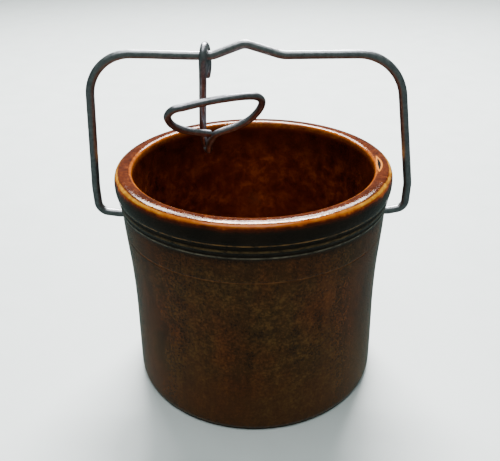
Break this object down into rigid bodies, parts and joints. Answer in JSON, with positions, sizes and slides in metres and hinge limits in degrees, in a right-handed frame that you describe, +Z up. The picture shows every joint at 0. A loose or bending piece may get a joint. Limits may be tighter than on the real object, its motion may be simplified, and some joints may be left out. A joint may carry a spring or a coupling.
{
  "type": "butter crock",
  "caption": "Brown-glazed stoneware butter crock with a collared rim, a swinging humped wire bail and a hanging wire lid clamp with a finger loop.",
  "frame": {"origin": "centre of the crock's flat base, on its axis", "axes": "+Z up along the crock's axis; the bail's pivot line runs along X through both wall sockets; the clamp's finger loop faces -Y"},
  "size_m": [0.1333, 0.1128, 0.145],
  "materials": {
    "brown_glaze": "glossy dark brown glaze, breaking amber on the rim edges, bare clay under the foot",
    "bail_steel": "dull grey oxidised wire",
    "clamp_steel": "dull grey oxidised wire"
  },
  "bodies": {
    "crock": {"crock_body": "brown_glaze"},
    "bail": {"bail": "bail_steel"},
    "clamp": {"lid_clamp": "clamp_steel"}
  },
  "joints": [
    {"name": "bail_swing", "type": "hinge", "parent": "crock", "child": "bail", "pos_m": [0, 0, 0.0736], "axis": [1, 0, 0], "range_deg": [-44, 42]},
    {"name": "clamp_swing", "type": "hinge", "parent": "bail", "child": "clamp", "pos_m": [-0.0184, 0, 0.1393], "axis": [1, 0, 0], "continuous": true}
  ]
}
